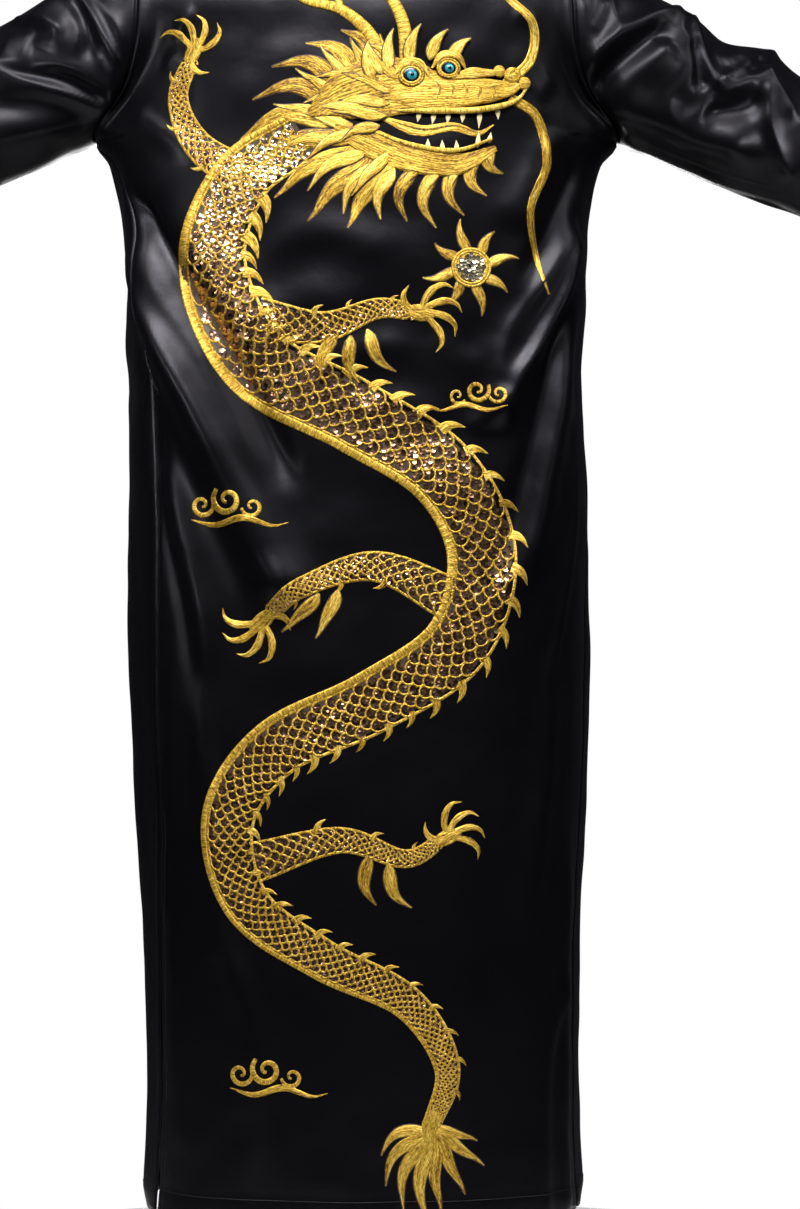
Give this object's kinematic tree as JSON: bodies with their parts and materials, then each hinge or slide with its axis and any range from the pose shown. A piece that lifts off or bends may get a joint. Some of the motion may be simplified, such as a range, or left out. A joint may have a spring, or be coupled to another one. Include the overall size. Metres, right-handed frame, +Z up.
{
  "type": "duster coat",
  "caption": "Long straight satin duster coat, worn shape, open front, round neck, full sleeves held out, side slits, embroidered and sequinned back.",
  "frame": {"origin": "middle of the neck, level with the neck ends of the shoulder seams, where the wearer's shoulders hold the coat", "axes": "+Z up, the front faces -Y, +X to the wearer's left"},
  "size_m": [1.4746, 0.2651, 1.3002],
  "materials": {
    "black_satin": "heavy satin, broad soft sheen",
    "black_thread": "sewing thread",
    "gold_thread": "lustrous embroidery thread",
    "dark_thread": "matt embroidery ground",
    "bronze_sequins": "metallised, sparkling",
    "pale_sequins": "metallised, sparkling",
    "blue_beads": "glossy"
  },
  "bodies": {
    "root": {"back": "black_satin", "front_left": "black_satin", "front_right": "black_satin", "sleeve_left": "black_satin", "sleeve_right": "black_satin"}
  },
  "joints": []
}
